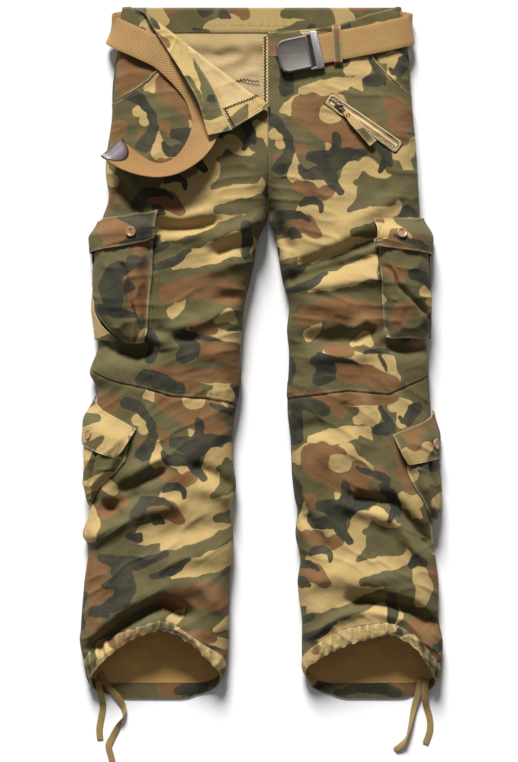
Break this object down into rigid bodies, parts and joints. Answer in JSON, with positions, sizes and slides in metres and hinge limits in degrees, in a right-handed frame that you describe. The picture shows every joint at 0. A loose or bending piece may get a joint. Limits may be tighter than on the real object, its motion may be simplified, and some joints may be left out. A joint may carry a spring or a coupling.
{
  "type": "camouflage cargo trousers laid flat",
  "caption": "Camouflage cargo trousers lying flat on their back, fly corner turned down, with side pockets, gathered hems and a webbing belt.",
  "frame": {"origin": "on the surface, under the middle of the garment's width and length, the hem ties left out", "axes": "+X to the wearer's left, +Y from the hems up to the waist, +Z off the surface towards the front of the garment"},
  "size_m": [0.5145, 1.0731, 0.0913],
  "materials": {
    "camo_cloth": "matt cotton twill, printed camouflage in tan, olive, brown and slate",
    "cloth_reverse": "matt cotton twill, plain tan reverse",
    "webbing": "heavy tan cotton webbing",
    "tie_tape": "woven khaki cotton tape",
    "buckle_metal": "brushed gunmetal",
    "zip_metal": "aged dark brass",
    "zip_tape": "woven tan tape",
    "leather": "dark brown, slightly shiny",
    "button_resin": "mottled brown, semi-gloss"
  },
  "bodies": {
    "trousers": {"front_upper_right": "camo_cloth", "front_upper_left": "camo_cloth", "front_lower_right": "camo_cloth", "front_lower_left": "camo_cloth", "hip_pocket_bearer_right": "camo_cloth", "hip_pocket_bearer_left": "camo_cloth", "back_right": "camo_cloth", "back_left": "camo_cloth", "hem_casing_front_right": "camo_cloth", "hem_casing_front_left": "camo_cloth", "hem_casing_back_right": "camo_cloth", "hem_casing_back_left": "camo_cloth", "waistband_front_right": "camo_cloth", "waistband_front_left": "camo_cloth", "waistband_back": "camo_cloth", "fly_corner_right": "cloth_reverse", "fly_facing_right": "camo_cloth", "fly_shield_left": "camo_cloth", "belt_webbing": "webbing", "belt_tip": "leather", "buckle_plate": "buckle_metal", "buckle_bar": "buckle_metal", "belt_loop_front_left": "camo_cloth", "belt_loop_back_right": "camo_cloth", "belt_loop_back_centre": "camo_cloth", "belt_loop_back_left": "camo_cloth", "cargo_pocket_right": "camo_cloth", "cargo_pocket_right_flap": "camo_cloth", "cargo_pocket_right_button": "button_resin", "cargo_pocket_left": "camo_cloth", "cargo_pocket_left_flap": "camo_cloth", "cargo_pocket_left_button": "button_resin", "calf_pocket_right": "camo_cloth", "calf_pocket_right_flap": "camo_cloth", "calf_pocket_right_button": "button_resin", "calf_pocket_left": "camo_cloth", "calf_pocket_left_flap": "camo_cloth", "calf_pocket_left_button": "button_resin", "zip_welt": "camo_cloth", "zip_tape": "zip_tape", "zip_slider": "zip_metal", "tie_right_long": "tie_tape", "tie_right_short": "tie_tape", "tie_left_long": "tie_tape", "tie_left_short": "tie_tape"},
    "zip_pull": {"zip_pull_link": "zip_metal", "zip_pull_strap": "camo_cloth"}
  },
  "joints": [
    {"name": "zip_pull_hinge", "type": "hinge", "parent": "trousers", "child": "zip_pull", "pos_m": [0.10959, 0.34778, 0.04891], "axis": [-0.7526, -0.6542, 0.0748], "range_deg": [0, 120]}
  ]
}
